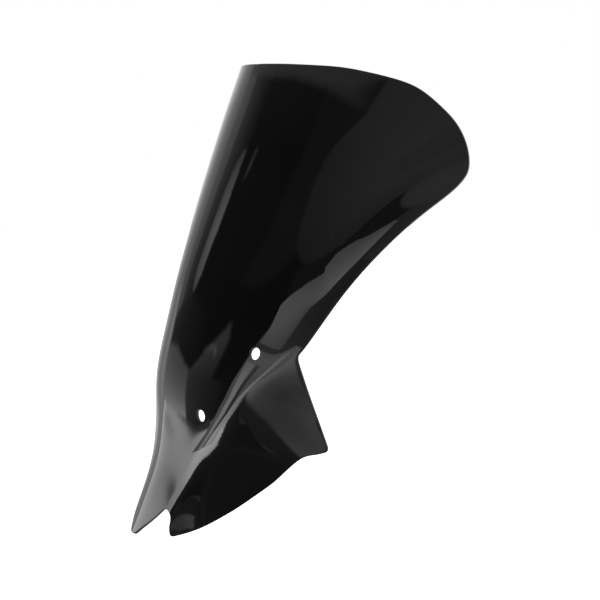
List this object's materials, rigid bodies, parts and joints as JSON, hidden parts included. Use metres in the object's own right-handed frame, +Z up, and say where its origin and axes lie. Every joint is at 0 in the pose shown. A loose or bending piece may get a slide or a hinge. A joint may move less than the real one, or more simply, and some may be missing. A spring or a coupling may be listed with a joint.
{
  "type": "motorcycle windshield screen",
  "caption": "Tall bubble-shaped motorcycle windscreen in gloss black smoke acrylic, with side ledges, swept cheeks, a notched nose tongue and fixing holes backed by rubber washers.",
  "frame": {"origin": "middle of the four fixing holes, on the plane of symmetry", "axes": "+Z up, -Y towards the front of the motorcycle, +X towards the rider's left; symmetric about x = 0"},
  "size_m": [0.4004, 0.2171, 0.406],
  "materials": {
    "smoke_acrylic": "polished black smoke acrylic sheet",
    "washer_rubber": "moulded black rubber, satin",
    "pad_foam": "closed-cell foam rubber strip, matt"
  },
  "bodies": {
    "root": {"screen_sheet": "smoke_acrylic", "washer_front_left": "washer_rubber", "washer_front_right": "washer_rubber", "washer_rear_left": "washer_rubber", "washer_rear_right": "washer_rubber", "nose_pad": "pad_foam", "cheek_pad_left": "pad_foam", "cheek_pad_right": "pad_foam"}
  },
  "joints": []
}
